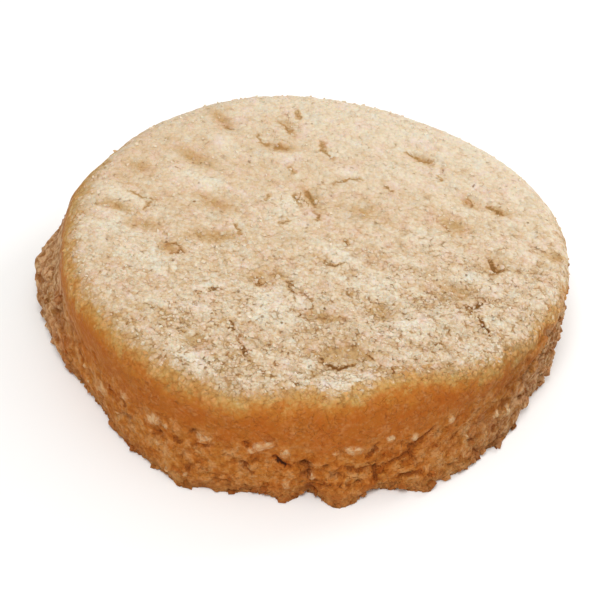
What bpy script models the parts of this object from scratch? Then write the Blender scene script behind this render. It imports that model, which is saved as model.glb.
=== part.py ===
"""Round shortbread biscuit, one baked solid.

The blank is turned from a half profile, pushed out of round, joined with the lumps of dough
that crept out low down, and remeshed to even faces. Functions then hollow its top and make
its lower wall crumble. Metres, +Z up, origin at the middle of the flat base, front at -Y.
"""

import math

import bmesh
import bpy
from mathutils import Matrix, Vector, noise

MM = 0.001

# Driving dimensions
RADIUS = 29.8 * MM
THICKNESS = 15.0 * MM
SHOULDER = 2.6 * MM  # radius of the rounded upper rim
FOOT_EDGE = 0.7 * MM  # height of the small bevel where the wall meets the base
BELLY = 0.35 * MM  # how far the baked band under the rim swells out
CROWN = 0.30 * MM  # the top is this much higher in the middle than at the shoulder
FLARE = 0.7 * MM  # the foot stands this much further out than the rim
BAND_FOOT = 8.5 * MM  # height where the smooth band ends and the crumbled wall begins
BAND_FADE = 1.8 * MM  # the crumbling fades out over this height on both sides of BAND_FOOT
BAND_CRUMBLE = 0.22  # share of the crumbling that is left in the band

CROWN_SHARES = (0.0, 0.45, 0.8)  # where the profile has its points across the top
TURN_STEPS = 96
SHOULDER_STEPS = 5
LUMP_SEGMENTS = 20
LUMP_RINGS = 12
FACE_SIZE = 1.2 * MM  # even face size of the remeshed biscuit
BASE_SNAP = 0.45 * MM  # everything lower than this lies in the base plane

# The wall's relief starts at the first share of the radius and is whole at the second
WALL_ZONE = (0.80, 0.97)
# The top's relief starts at the first share of the thickness and is whole at the second
TOP_ZONE = (0.62, 0.90)

# Out-of-round shape: lobes round the rim, share of the radius, and where one of them points
OUT_OF_ROUND = (
    (1, 0.010, 70.0),
    (2, 0.032, 35.0),
    (3, 0.017, 5.0),
    (4, 0.007, 27.0),
)

# Lumps of dough that crept out low down: heading in degrees, along, out, high, reach, lift
DOUGH_LUMPS = (
    (-174.0, 6.6, 3.1, 3.4, 0.4, 3.8),
    (-156.0, 2.6, 1.8, 2.2, -0.2, 3.2),
    (-77.5, 3.1, 2.0, 1.7, 0.3, 1.2),
    (-111.0, 3.4, 1.6, 1.5, -0.2, 1.2),
    (-58.0, 3.6, 1.6, 1.5, 0.2, 1.2),
    (24.0, 5.0, 1.8, 1.9, 0.6, 1.4),
    (66.0, 3.8, 1.7, 2.6, 0.6, 1.9),
    (103.0, 5.4, 1.9, 1.8, 0.6, 1.3),
)

# Where the wall crept out (plus) or stayed back (minus): heading, half width, height, outwards
WALL_SPREAD = (
    (168.0, 14.0, 11.5, 2.8),
    (-140.0, 13.0, 9.0, -1.5),
    (-124.0, 6.0, 6.0, 0.4),
    (-112.0, 16.0, 6.0, 0.8),
    (-89.0, 3.0, 3.0, 0.7),
    (-84.0, 2.0, 3.2, -2.5),
    (-68.5, 1.6, 2.4, -0.5),
    (-46.0, 7.0, 5.0, 1.1),
    (-33.0, 6.0, 5.0, 0.8),
    (-17.0, 8.0, 6.0, -0.6),
    (4.0, 3.0, 3.0, -1.0),
    (48.0, 4.0, 3.4, -1.1),
    (84.0, 3.4, 2.6, -1.3),
    (122.0, 2.8, 3.2, -1.0),
    (138.0, 6.0, 5.0, 0.3),
)

# Hollows of the top: x, y, length, width, heading in degrees, depth
TOP_HOLLOWS = (
    (5.0, -20.4, 7.5, 3.2, 14.0, 0.80),
    (21.0, -0.8, 3.0, 2.4, -50.0, 0.75),
    (18.6, -7.4, 5.0, 2.6, -16.0, 0.55),
    (12.0, 17.8, 5.0, 2.0, -20.0, 0.55),
    (20.2, 9.8, 5.0, 2.2, -14.0, 0.55),
    (15.8, 5.3, 3.4, 2.4, -25.0, 0.45),
    (3.4, -0.8, 2.8, 1.8, 0.0, 0.35),
    (-0.9, 6.3, 4.6, 1.8, -62.0, 0.55),
    (2.4, 10.8, 3.8, 1.6, 16.0, 0.40),
    (-13.0, 19.8, 5.5, 2.4, -30.0, 0.45),
    (-15.2, 11.6, 6.5, 3.2, -10.0, 0.45),
    (-20.2, 3.1, 6.5, 2.2, -15.0, 0.50),
    (-20.5, -1.8, 5.0, 2.6, 5.0, 0.50),
    (-11.5, -2.2, 5.0, 2.8, 10.0, 0.40),
    (-11.8, 4.4, 5.5, 2.6, -28.0, 0.35),
    (8.0, -11.6, 4.6, 2.4, -16.0, 0.45),
    (1.2, -14.8, 4.8, 2.0, -10.0, 0.40),
    (-5.6, -8.4, 5.5, 2.6, -14.0, 0.35),
    (-12.0, -21.4, 3.0, 2.2, 0.0, 0.35),
    (28.0, 2.2, 2.6, 1.8, 80.0, 0.45),
)

# Crumbled relief: wavelength and height of each layer
WALL_LAYERS = ((6.0, 0.50), (2.7, 0.42))
TOP_LAYERS = ((9.5, 0.26), (4.2, 0.13))
LAYER_OFFSET = Vector((17.3, 5.7, 11.3))  # keeps the layers' waves apart
GRAIN_HEADING = math.radians(-28.0)  # the top's swells run this way
SWELL_STRETCH = 2.0  # and are this many times as long as wide

CRUMB_COLOUR = (0.68, 0.50, 0.31, 1.0)
CRUMB_ROUGHNESS = 0.78


def clear_scene():
    for obj in list(bpy.data.objects):
        bpy.data.objects.remove(obj)


def smoothstep(low, high, value):
    """0 below low, 1 above high, and an even curve between them."""
    t = min(1.0, max(0.0, (value - low) / (high - low)))
    return t * t * (3.0 - 2.0 * t)


def angle_between(a, b):
    """Smallest difference of two headings, in degrees."""
    return abs((a - b + 180.0) % 360.0 - 180.0)


def half_profile():
    """(radius, height) points from the middle of the top, down the wall, to the middle of the base."""
    top = THICKNESS - CROWN
    points = [(share * RADIUS, THICKNESS - CROWN * share * share) for share in CROWN_SHARES]
    for step in range(SHOULDER_STEPS + 1):
        turn = math.radians(90.0 * (1.0 - step / SHOULDER_STEPS))
        across = RADIUS - SHOULDER + SHOULDER * math.cos(turn)
        points.append((across, top - SHOULDER + SHOULDER * math.sin(turn)))
    points.append((RADIUS + BELLY, 0.5 * (top - SHOULDER + BAND_FOOT)))
    points.append((RADIUS - 0.5 * BELLY, BAND_FOOT - BELLY))
    points.append((RADIUS + 0.3 * FLARE, 0.3 * THICKNESS))
    points.append((RADIUS + FLARE, FOOT_EDGE))
    points.append((RADIUS + FLARE - FOOT_EDGE, 0.0))
    points.append((0.0, 0.0))
    return points


def turned_blank():
    """The half profile turned about +Z into a closed disc."""
    outline = bmesh.new()
    verts = [outline.verts.new((across, 0.0, high)) for across, high in half_profile()]
    for upper, lower in zip(verts, verts[1:]):
        outline.edges.new((upper, lower))
    mesh = bpy.data.meshes.new("blank")
    outline.to_mesh(mesh)
    outline.free()
    blank = bpy.data.objects.new("blank", mesh)
    bpy.context.scene.collection.objects.link(blank)
    turn = blank.modifiers.new("turn", "SCREW")
    turn.axis = "Z"
    turn.steps = turn.render_steps = TURN_STEPS
    turn.use_merge_vertices = True
    turn.merge_threshold = 0.00001
    return blank


def rim_share(around):
    """How far out the rim stands at an angle, as a share of the plain radius."""
    share = 1.0
    for lobes, swing, points_to in OUT_OF_ROUND:
        share += swing * math.cos(lobes * (around - math.radians(points_to)))
    return share


def out_of_round(verts):
    for vert in verts:
        share = rim_share(math.atan2(vert.co.y, vert.co.x))
        vert.co.x *= share
        vert.co.y *= share


def add_dough_lump(dough, heading, along, out, high, reach, lift):
    """A squashed ball sunk in the wall, its long side along the rim."""
    around = math.radians(heading)
    centre = RADIUS * rim_share(around) + reach * MM
    place = Matrix.Rotation(around, 4, "Z") @ Matrix.Translation((centre, 0.0, lift * MM))
    size = Matrix.Diagonal((out * MM, along * MM, high * MM, 1.0))
    bmesh.ops.create_uvsphere(
        dough, u_segments=LUMP_SEGMENTS, v_segments=LUMP_RINGS, radius=1.0, matrix=place @ size
    )


def evaluated_mesh(obj):
    graph = bpy.context.evaluated_depsgraph_get()
    return bpy.data.meshes.new_from_object(obj.evaluated_get(graph))


def even_faces(mesh):
    """The same shape remeshed to one closed skin of even faces."""
    rough = bpy.data.objects.new("rough", mesh)
    bpy.context.scene.collection.objects.link(rough)
    remesh = rough.modifiers.new("even_faces", "REMESH")
    remesh.mode = "VOXEL"
    remesh.voxel_size = FACE_SIZE
    skin = evaluated_mesh(rough)
    bpy.data.objects.remove(rough)
    return skin


def swell(layers, place):
    """Sum of smooth noise layers at a place, in metres."""
    total = 0.0
    for number, (wavelength, height) in enumerate(layers):
        total += height * MM * noise.noise(place / (wavelength * MM) + number * LAYER_OFFSET)
    return total


def top_relief(x, y):
    """Height change of the top at a place: long swells and the pressed hollows."""
    along = (x * math.cos(GRAIN_HEADING) + y * math.sin(GRAIN_HEADING)) / SWELL_STRETCH
    across = y * math.cos(GRAIN_HEADING) - x * math.sin(GRAIN_HEADING)
    change = swell(TOP_LAYERS, Vector((along, across, 0.0)))
    for centre_x, centre_y, length, width, heading, depth in TOP_HOLLOWS:
        turn = math.radians(heading)
        dx, dy = x / MM - centre_x, y / MM - centre_y
        u = (dx * math.cos(turn) + dy * math.sin(turn)) / (0.5 * length)
        v = (dy * math.cos(turn) - dx * math.sin(turn)) / (0.5 * width)
        change -= depth * MM * math.exp(-(u * u + v * v))
    return change


def wall_relief(around, place):
    """How far the wall moves out: crumbled low down, nearly smooth in the band under the rim."""
    height = place.z
    crumbled = 1.0 - smoothstep(BAND_FOOT - BAND_FADE, BAND_FOOT + BAND_FADE, height)
    change = swell(WALL_LAYERS, place) * (BAND_CRUMBLE + (1.0 - BAND_CRUMBLE) * crumbled)
    for heading, half_width, high, outwards in WALL_SPREAD:
        beside = angle_between(math.degrees(around), heading) / half_width
        above = height / (high * MM)
        change += outwards * MM * math.exp(-(beside * beside) - above ** 4)
    return change


def shape(verts):
    """Moves every vertex of the remeshed blank to its place on the biscuit."""
    for vert in verts:
        place = vert.co.copy()
        around = math.atan2(place.y, place.x)
        across = math.hypot(place.x, place.y)
        on_wall = smoothstep(WALL_ZONE[0] * RADIUS, WALL_ZONE[1] * RADIUS, across)
        on_top = smoothstep(TOP_ZONE[0] * THICKNESS, TOP_ZONE[1] * THICKNESS, place.z)
        if place.z < BASE_SNAP:
            vert.co.z = 0.0
        vert.co.z += on_top * top_relief(place.x, place.y)
        moved = on_wall * wall_relief(around, place)
        vert.co.x += moved * math.cos(around)
        vert.co.y += moved * math.sin(around)


def merge_base(dough):
    """Joins the faces of the base plane into one flat face."""
    flat = [face for face in dough.faces if all(vert.co.z == 0.0 for vert in face.verts)]
    bmesh.ops.dissolve_faces(dough, faces=flat, use_verts=True)


def crumb_material():
    material = bpy.data.materials.new("baked_crumb")
    material.use_nodes = True
    shader = material.node_tree.nodes["Principled BSDF"]
    shader.inputs["Base Color"].default_value = CRUMB_COLOUR
    shader.inputs["Roughness"].default_value = CRUMB_ROUGHNESS
    shader.inputs["Metallic"].default_value = 0.0
    return material


def rough_dough():
    """The out-of-round blank with the lumps pushed into it, as one mesh of crossing skins."""
    blank = turned_blank()
    dough = bmesh.new()
    dough.from_mesh(evaluated_mesh(blank))
    bpy.data.objects.remove(blank)
    out_of_round(dough.verts)
    for lump in DOUGH_LUMPS:
        add_dough_lump(dough, *lump)
    bmesh.ops.recalc_face_normals(dough, faces=dough.faces)
    mesh = bpy.data.meshes.new("rough")
    dough.to_mesh(mesh)
    dough.free()
    return mesh


def build_biscuit():
    dough = bmesh.new()
    dough.from_mesh(even_faces(rough_dough()))
    shape(dough.verts)
    merge_base(dough)
    bmesh.ops.triangulate(dough, faces=dough.faces)
    mesh = bpy.data.meshes.new("biscuit")
    dough.to_mesh(mesh)
    dough.free()
    mesh.shade_smooth()
    mesh.materials.append(crumb_material())
    return bpy.data.objects.new("biscuit", mesh)


def main():
    clear_scene()
    collection = bpy.data.collections.new("shortbread_biscuit")
    bpy.context.scene.collection.children.link(collection)
    collection.objects.link(build_biscuit())


main()
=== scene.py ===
import math
from functools import partial

import bmesh
import bpy
import numpy as np
from mathutils import Euler, Matrix, Vector, noise
from mathutils.bvhtree import BVHTree


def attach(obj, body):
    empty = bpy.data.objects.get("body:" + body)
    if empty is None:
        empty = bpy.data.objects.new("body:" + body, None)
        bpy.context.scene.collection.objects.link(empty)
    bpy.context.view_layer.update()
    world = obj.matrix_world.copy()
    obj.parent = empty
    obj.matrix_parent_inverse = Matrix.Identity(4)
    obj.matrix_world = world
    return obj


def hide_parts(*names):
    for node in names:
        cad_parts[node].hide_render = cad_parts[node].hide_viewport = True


# round shortbread biscuit: crumbled dough under a frosted top, with sugar grains and loose crumbs
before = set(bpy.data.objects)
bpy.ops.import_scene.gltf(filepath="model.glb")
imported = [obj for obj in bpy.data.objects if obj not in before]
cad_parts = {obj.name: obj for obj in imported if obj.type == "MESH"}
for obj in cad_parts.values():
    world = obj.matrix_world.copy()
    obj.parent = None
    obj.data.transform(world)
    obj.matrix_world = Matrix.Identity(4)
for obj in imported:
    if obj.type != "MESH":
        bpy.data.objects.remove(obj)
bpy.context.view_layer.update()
mm = 0.001


def ease(low, high, value):
    t = np.clip((value - low) / (high - low), 0.0, 1.0)
    return t * t * (3.0 - 2.0 * t)


def addObject(name, mesh):
    obj = bpy.data.objects.new(name, mesh)
    bpy.context.scene.collection.objects.link(obj)
    return obj


def modifiedMesh(obj):
    graph = bpy.context.evaluated_depsgraph_get()
    return bpy.data.meshes.new_from_object(obj.evaluated_get(graph))


# the dough itself, sizes in mm; lists by heading give (degrees, value), -90 is the front
dough = {
    "seed": 11,
    "facetRounds": 5,  # smoothing that takes the frame's facets off
    "wallRounds": 8,  # more of it on the wall
    "wallTop": 11.0,
    "smoothing": 0.4,
    "voxel": 0.28,  # between the points of the finished skin
    "underside": 2.6,  # fine skin goes this far in under the foot, the rest is one flat face
    "lumps": 120,  # crumbs baked into the lower wall
    "lumpSize": (0.4, 1.2),
    "lumpStretch": ((0.8, 1.5), (0.7, 1.2), (0.45, 0.9)),  # shares of that size
    "lumpSunk": (0.5, 0.85),
    "grainHeading": math.radians(-28.0),  # the way the top's streaks run
    "thickness": 15.0,
    "rim": 29.8,
    "rimLobes": ((1, 0.010, 70.0), (2, 0.032, 35.0), (3, 0.017, 5.0), (4, 0.007, 27.0)),
    "shoulder": 2.6,
    # heights of the top's relief in mm
    "top": {
        "streak": 0.09,
        "crest": 0.12,
        "toast": 0.14,
        "fold": 0.36,
        "grit": 0.16,
        "plate": 0.12,
        "crack": 0.12,
        "crackWidth": 0.25,
        "curl": 0.5,  # how far the plates' edges wander
        "stretch": 1.9,  # streaks are this many times longer than wide
        "sunk": 0.20,
    },
    # heights of the wall's relief in mm
    "wall": {
        "ripple": 0.04,
        "swell": 0.07,
        "lump": 0.34,
        "step": 0.26,
        "loose": 0.06,
        "crumb": 0.16,
        "crease": 0.20,
        "chip": 0.30,
        "cleft": 0.20,
        "hole": 0.55,
        "slit": 0.30,
        "slitWidth": 0.26,
        "frostLip": 0.09,
        "squash": (0.8, 0.8, 1.3),  # lumps are wider than high
        "lumpBend": 0.5,  # how far noise bends each of these
        "slitBend": 0.35,
        "chipBend": 0.15,
        "holeBend": 0.45,
    },
    # where the parts of the skin fade in: share of the normal that points up, or mm
    "zones": {
        "topFacing": (0.35, 0.8),
        "topHeight": (11.5, 13.5),
        "underFacing": (-0.3, -0.8),
        "underHeight": (1.0, 0.3),
        "coarse": (-2.0, -18.0),  # from back to front, where the frost is coarser
        "calm": (-17.0, 19.0),  # from front to back, where it is calmer
        "loose": (2.2, -3.0),  # over the height that looseTop gives
        "pale": (1.2, -1.0),  # over the height that paleTop gives
    },
    # noise of the relief: wavelength in mm, and a shift that keeps each one apart
    "waves": {
        "streak": (3.2, 0.0),
        "curlAlong": (1.7, 17.0),
        "curlAcross": (1.7, 23.0),
        "fold": (1.5, 9.0),
        "grit": (0.75, 4.0),
        "plate": (1.6, 5.0),
        "platePatch": (4.0, 2.0),
        "looseEdge": (2.6, 3.0),
        "bendX": (1.8, 41.0),
        "bendY": (1.8, 43.0),
        "bendZ": (1.8, 47.0),
        "lump": (2.0, 8.0),
        "smallLump": (0.9, 13.0),
        "ripple": (0.8, 6.0),
        "swell": (2.2, 16.0),
        "crumb": (1.5, 19.0),
        "crease": (1.1, 29.0),
        "raggedAround": (0.9, 33.0),
        "raggedUp": (0.9, 37.0),
        "cleftPatch": (2.4, 21.0),
        "frostClump": (1.5, 51.0),
        "frostReach": (2.6, 55.0),
    },
}

noCrack = 9.0  # noted as the distance to a crack where none is near

# height up to which the wall is crumbled
looseTop = (
    (-180.0, 8.5), (-150.0, 8.8), (-120.0, 8.8), (-100.0, 7.8), (-85.0, 7.6), (-70.0, 8.4),
    (-55.0, 9.6), (-40.0, 10.4), (-25.0, 11.6), (10.0, 12.2), (60.0, 10.5), (120.0, 9.0),
    (180.0, 8.5),
)

# how far the pale frost reaches down over the shoulder
frostReach = (
    (-180.0, 2.4), (-160.0, 2.35), (-147.0, 2.0), (-139.0, 1.6), (-122.0, 1.7), (-104.0, 2.3),
    (-99.0, 1.6), (-92.0, 0.8), (-86.0, 0.3), (-80.0, 1.1), (-75.0, 0.2), (-62.0, -0.6),
    (-54.0, -0.2), (-49.0, 1.2), (-40.0, 2.2), (-31.0, 2.3), (-24.0, 3.0), (-17.0, 2.9),
    (-7.0, 4.0), (10.0, 5.0), (45.0, 4.6), (100.0, 4.0), (150.0, 3.9), (180.0, 2.4),
)

# how gradually it fades there
frostFade = (
    (-180.0, 1.8), (-152.0, 1.9), (-138.0, 1.7), (-122.0, 1.4), (-98.0, 1.2), (-75.0, 1.5),
    (-50.0, 1.8), (-20.0, 1.8), (20.0, 1.7), (60.0, 1.3), (150.0, 1.4), (180.0, 1.8),
)

# how greyish tan the crumbled wall is
paleCrumb = (
    (-180.0, 0.9), (-166.0, 0.9), (-156.0, 0.4), (-146.0, 0.0), (-60.0, 0.0), (-45.0, 0.15),
    (-28.0, 0.55), (-14.0, 0.95), (40.0, 0.6), (120.0, 0.4), (180.0, 0.9),
)

# height up to which it is so
paleTop = (
    (-180.0, 10.4), (-150.0, 9.2), (-60.0, 7.0), (-42.0, 5.0), (-28.0, 6.0), (-14.0, 10.5),
    (0.0, 11.5), (20.0, 12.5), (120.0, 11.5), (180.0, 10.4),
)

# how lumpy the crumbled wall is
lumpiness = (
    (-180.0, 1.2), (-160.0, 1.2), (-148.0, 0.7), (-138.0, 0.3), (-108.0, 0.35), (-92.0, 0.6),
    (-60.0, 0.7), (-45.0, 0.8), (-28.0, 1.2), (40.0, 1.2), (120.0, 1.1), (180.0, 1.2),
)

# how much browner and darker the wall is: partly baked browning, partly painted shade on the right,
# which the lamp lights less
shadeAndBrowning = (
    (-180.0, 0.3), (-155.0, 0.15), (-142.0, 0.2), (-125.0, 0.3), (-108.0, 0.2), (-95.0, 0.0),
    (-68.0, 0.0), (-55.0, 0.15), (-44.0, 0.4), (-31.0, 1.0), (-22.0, 0.65), (-14.0, 0.1),
    (-6.0, 0.0), (5.0, 0.15), (30.0, 0.4), (180.0, 0.3),
)

# cracks of the top: strength, then x, y of their points
cracks = (
    (0.6, (-4.6, 24.3), (-3.9, 22.3)),
    (0.7, (-6.8, 21.8), (-4.9, 19.9), (-4.5, 18.4)),
    (0.6, (-8.9, 18.2), (-8.4, 16.8), (-7.2, 15.6)),
    (0.7, (-6.8, 15.3), (-5.6, 15.9), (-4.4, 15.7)),
    (0.8, (-0.7, 18.7), (-0.8, 16.5), (0.7, 15.5), (1.2, 14.7)),
    (0.6, (-12.9, 19.2), (-12.1, 18.3)),
    (0.6, (-4.4, 12.4), (-3.6, 10.7)),
    (0.8, (1.0, 10.2), (2.9, 11.2), (5.0, 11.4)),
    (0.7, (7.2, 10.3), (8.8, 9.9)),
    (1.3, (9.6, 18.6), (11.7, 17.3), (13.5, 17.2)),
    (0.7, (13.8, 14.6), (14.7, 13.5)),
    (0.8, (17.2, 11.2), (18.4, 9.7)),
    (1.2, (19.8, 10.2), (22.4, 8.8)),
    (0.7, (15.0, 5.3), (15.6, 3.7)),
    (1.3, (-2.0, 8.4), (-0.6, 5.4)),
    (0.8, (-0.7, 5.0), (0.3, 2.6)),
    (0.7, (-3.6, 7.9), (-2.9, 6.3), (-2.2, 4.7)),
    (0.5, (-6.0, 6.8), (-6.7, 4.9)),
    (0.8, (-4.7, 1.5), (-3.2, 2.2)),
    (0.8, (3.3, 0.0), (3.7, -1.8)),
    (1.5, (20.9, 0.1), (21.3, -1.3), (22.3, -2.1)),
    (0.5, (-23.6, 3.9), (-21.4, 3.2), (-19.2, 2.3)),
    (0.5, (-20.4, 2.4), (-20.5, 0.4)),
    (0.6, (-9.7, 0.5), (-8.7, -2.0)),
    (0.6, (-17.5, -6.0), (-17.0, -4.9), (-15.8, -5.2), (-15.6, -6.3), (-16.8, -6.9)),
    (0.8, (1.2, -4.3), (1.8, -5.2), (3.0, -4.9), (4.0, -4.3)),
    (0.9, (-6.4, -8.6), (-5.8, -9.7), (-4.7, -9.5)),
    (0.9, (-2.4, -8.5), (-2.2, -10.2), (-1.4, -10.9)),
    (1.9, (20.2, -6.9), (19.3, -8.8), (18.0, -9.4)),
    (0.7, (18.6, -9.2), (19.0, -10.6)),
    (1.9, (20.0, -10.4), (20.3, -12.2), (21.3, -13.6)),
    (0.9, (-12.8, -13.2), (-11.2, -12.4), (-9.6, -11.8)),
    (0.9, (-8.6, -16.6), (-7.9, -18.8)),
    (1.1, (-7.3, -19.8), (-6.3, -21.3), (-6.1, -22.7)),
    (1.2, (-1.1, -14.9), (-0.4, -14.4)),
    (1.5, (2.0, -21.4), (4.2, -21.9), (6.5, -21.0)),
    (0.8, (1.6, -22.7), (1.8, -24.2)),
    (0.9, (-0.6, -26.0), (0.5, -25.2)),
    (0.7, (10.0, -20.6), (10.6, -22.2)),
    (0.7, (7.4, -18.7), (8.2, -20.1)),
)

# pale raised patches of the top: x, y, length, width, heading in degrees
crests = (
    (-13.0, 15.5, 5.0, 3.0, -60.0),
    (-15.0, 7.6, 11.0, 3.0, -16.0),
    (-4.5, 4.5, 6.5, 5.0, 20.0),
    (-4.5, 14.0, 5.5, 3.0, 0.0),
    (3.0, 12.6, 4.0, 2.4, -30.0),
    (9.0, 13.8, 8.0, 3.0, -20.0),
    (-23.5, -3.0, 5.5, 4.0, -20.0),
    (-24.0, 3.0, 6.0, 2.4, -28.0),
    (-20.0, -8.0, 9.0, 3.0, -24.0),
    (-13.5, -15.5, 5.0, 2.4, 0.0),
    (-4.0, -13.6, 6.0, 5.0, 0.0),
    (2.5, -3.0, 6.0, 2.4, -40.0),
    (7.5, -8.0, 6.5, 4.0, -35.0),
    (5.0, -24.6, 9.0, 3.4, 6.0),
    (1.3, -21.9, 1.9, 1.5, 0.0),
    (-12.0, -23.0, 5.0, 2.4, -40.0),
    (-11.4, -11.6, 5.0, 1.4, 24.0),
    (11.5, -14.0, 7.0, 3.4, 10.0),
    (21.0, -16.5, 5.0, 3.0, 30.0),
    (19.0, -4.2, 4.4, 2.2, -10.0),
    (13.5, 1.4, 6.0, 3.0, -28.0),
)

# toasted patches of the top, in the same way
toasts = (
    (-16.0, 12.0, 5.0, 2.2, -30.0),
    (-13.6, 20.5, 5.0, 1.8, -50.0),
    (-5.0, 20.3, 4.0, 1.4, -60.0),
    (-5.4, 15.8, 3.6, 1.6, 10.0),
    (11.8, 17.6, 4.0, 1.5, -24.0),
    (18.2, 10.2, 3.4, 2.0, -40.0),
    (21.6, 9.4, 3.0, 1.4, -20.0),
    (16.2, 5.4, 3.6, 2.8, -50.0),
    (5.6, 5.6, 3.4, 2.4, 0.0),
    (21.3, -0.7, 2.4, 3.2, 0.0),
    (28.6, 2.5, 2.0, 2.2, 0.0),
    (-1.2, 6.8, 1.8, 3.4, 25.0),
    (-12.4, 4.0, 4.6, 2.2, -28.0),
    (-22.0, 8.8, 3.0, 2.0, -20.0),
    (-20.5, -2.0, 4.6, 2.0, 0.0),
    (-24.0, 0.6, 4.0, 1.4, -10.0),
    (-12.0, -2.4, 5.0, 2.4, 5.0),
    (-5.2, -8.6, 4.0, 2.2, -10.0),
    (8.6, -12.0, 3.6, 3.0, -30.0),
    (5.4, -19.6, 6.4, 3.4, 5.0),
    (2.0, -14.0, 5.0, 1.8, -8.0),
    (-12.0, -21.2, 2.8, 2.4, 0.0),
    (17.0, -6.6, 4.4, 3.0, -20.0),
    (1.8, -23.2, 1.3, 2.0, 0.0),
    (-16.8, -6.0, 2.2, 2.2, 0.0),
)

# slits in the wall: strength, then heading in degrees and height of their points
slits = (
    (1.8, (-93.3, 6.7), (-88.8, 5.1)),
    (1.2, (-86.8, 6.0), (-84.6, 5.6)),
    (1.0, (-85.0, 5.6), (-84.4, 3.4)),
    (1.0, (-77.2, 5.6), (-74.7, 4.6), (-70.0, 4.5)),
    (1.0, (-82.6, 2.3), (-79.1, 3.1)),
    (1.0, (-78.5, 3.0), (-75.1, 2.8)),
    (1.3, (-70.2, 4.8), (-68.9, 2.4)),
    (1.2, (-64.4, 2.4), (-61.0, 3.0), (-57.5, 2.6)),
    (1.2, (-61.2, 6.6), (-58.1, 7.6), (-55.6, 8.9)),
    (1.0, (-70.0, 8.3), (-70.6, 6.8), (-72.6, 6.4)),
    (1.0, (-68.1, 4.7), (-62.6, 5.5), (-59.5, 4.8)),
    (1.0, (-120.0, 4.4), (-117.8, 5.8)),
    (1.2, (-99.2, 4.9), (-97.0, 3.7)),
    (1.0, (-114.6, 6.7), (-113.6, 5.7), (-112.2, 6.0)),
    (0.8, (-110.9, 6.0), (-107.9, 6.4), (-105.5, 7.0)),
    (1.0, (-100.2, 8.1), (-98.5, 7.6)),
    (0.8, (-36.4, 4.4), (-35.8, 2.8)),
    (0.8, (-45.0, 4.4), (-42.4, 3.1)),
    (0.8, (-131.0, 6.4), (-128.0, 5.6)),
    (0.8, (-150.0, 6.0), (-146.0, 5.0)),
)

# small holes in the wall: heading in degrees, height, length, width, tilt
holes = (
    (-85.8, 5.8, 1.8, 1.1, -10.0),
    (-85.6, 4.2, 1.4, 2.0, 0.0),
    (-81.0, 5.5, 0.8, 0.8, 0.0),
    (-72.9, 3.0, 0.6, 0.7, 0.0),
    (-61.4, 6.5, 0.8, 0.6, 0.0),
    (-111.1, 7.8, 0.7, 0.6, 0.0),
    (-96.6, 5.6, 0.7, 0.5, 0.0),
    (-98.9, 4.9, 0.8, 0.7, 0.0),
    (-110.3, 2.9, 0.7, 1.0, 20.0),
    (-84.0, 1.6, 1.6, 2.4, 0.0),
)

# pale chips of dough on the wall, in the same way; their pale paint is partly a painted highlight
# on the lumps
chips = (
    (-96.4, 7.9, 1.7, 1.3, 40.0),
    (-94.6, 8.4, 1.5, 1.2, 0.0),
    (-97.8, 7.1, 0.9, 0.9, 0.0),
    (-90.6, 7.3, 1.3, 1.4, 0.0),
    (-120.2, 6.8, 2.6, 2.4, 20.0),
    (-117.0, 6.9, 0.9, 0.9, 0.0),
    (-108.2, 7.3, 2.8, 1.5, -20.0),
    (-128.8, 7.4, 1.4, 1.6, 0.0),
    (-137.5, 4.8, 2.4, 2.4, 30.0),
    (-75.4, 7.7, 2.4, 1.4, -12.0),
    (-79.6, 7.4, 0.9, 0.8, 0.0),
    (-67.0, 8.6, 1.2, 1.2, 0.0),
    (-60.8, 8.1, 1.2, 1.3, 0.0),
    (-51.0, 8.9, 1.0, 1.1, 0.0),
    (-89.4, 2.6, 0.9, 2.0, 12.0),
    (-84.0, 3.9, 0.9, 1.5, -10.0),
    (-31.8, 5.2, 1.2, 1.6, 0.0),
    (-36.0, 5.6, 0.9, 1.2, 0.0),
)


def relax(shape, points, factor, rounds=1):
    for _ in range(rounds):
        bmesh.ops.smooth_vert(
            shape, verts=points, factor=factor, use_axis_x=True, use_axis_y=True, use_axis_z=True
        )


def smoothCopy():
    # the frame's solid, merged and with its facets smoothed off, the base left flat
    shape = bmesh.new()
    shape.from_mesh(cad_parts["biscuit"].data)
    bmesh.ops.remove_doubles(shape, verts=shape.verts, dist=0.002 * mm)
    free = [v for v in shape.verts if v.co.z > 0.2 * mm]
    relax(shape, free, dough["smoothing"], dough["facetRounds"])
    wall = [v for v in free if v.co.z < dough["wallTop"] * mm]
    relax(shape, wall, dough["smoothing"], dough["wallRounds"])
    return shape


def addLumps(shape):
    # crumbs of dough pushed into the lower wall, each its own size and turn
    random = np.random.default_rng(dough["seed"])
    wall = BVHTree.FromBMesh(shape)
    for _ in range(dough["lumps"]):
        heading = random.uniform(-math.pi, math.pi)
        highest = np.interp(math.degrees(heading), *zip(*looseTop)) - 0.6
        height = highest * random.uniform(0.02, 1.0) ** 1.2
        outwards = Vector((math.cos(heading), math.sin(heading), 0.0))
        start = outwards * 60.0 * mm + Vector((0.0, 0.0, height * mm))
        place, normal, _, _ = wall.ray_cast(start, -outwards)
        if place is None:
            continue
        size = random.uniform(*dough["lumpSize"]) * (1.0 - 0.35 * height / highest)
        radii = [size * mm * random.uniform(*span) for span in dough["lumpStretch"]]
        stretch = Matrix.Diagonal((*radii, 1.0))
        turn = Euler(random.uniform(0.0, math.pi, 3)).to_matrix().to_4x4()
        sunk = place - normal * size * mm * random.uniform(*dough["lumpSunk"])
        sunk.z = max(sunk.z, 0.55 * size * mm)
        bmesh.ops.create_icosphere(
            shape, subdivisions=2, radius=1.0, matrix=Matrix.Translation(sunk) @ turn @ stretch
        )


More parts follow.
